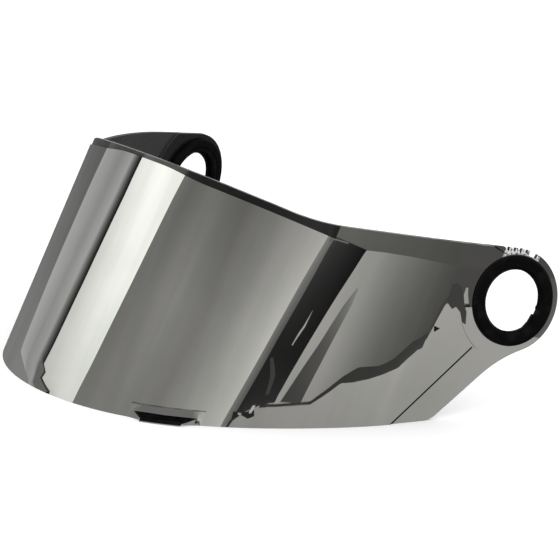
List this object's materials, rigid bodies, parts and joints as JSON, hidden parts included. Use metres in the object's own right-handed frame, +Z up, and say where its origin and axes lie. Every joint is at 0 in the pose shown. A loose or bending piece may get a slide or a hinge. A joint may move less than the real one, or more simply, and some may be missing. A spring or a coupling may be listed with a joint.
{
  "type": "motorcycle helmet visor",
  "caption": "Curved mirror-coated helmet visor with a black pivot ring in each ear, ratchet teeth above the ring and a lift tab on the lower edge. It shields a rider's face.",
  "frame": {"origin": "on the floor that the lower edge stands on, midway between the ears and midway between the front and the rear", "axes": "+X to the wearer's left, from ear to ear; -Y the way the wearer looks; +Z up"},
  "size_m": [0.242, 0.1916, 0.1034],
  "materials": {
    "mirror_lens": "mirror coat outside, dark smoke inside",
    "black_ring": "semi-gloss black",
    "black_clamp": "satin black",
    "black_tab": "semi-gloss black"
  },
  "bodies": {
    "root": {"lens_shell": "mirror_lens", "lift_tab": "black_tab", "left_pivot_ring": "black_ring", "left_retaining_ring": "black_clamp", "right_pivot_ring": "black_ring", "right_retaining_ring": "black_clamp"}
  },
  "joints": []
}
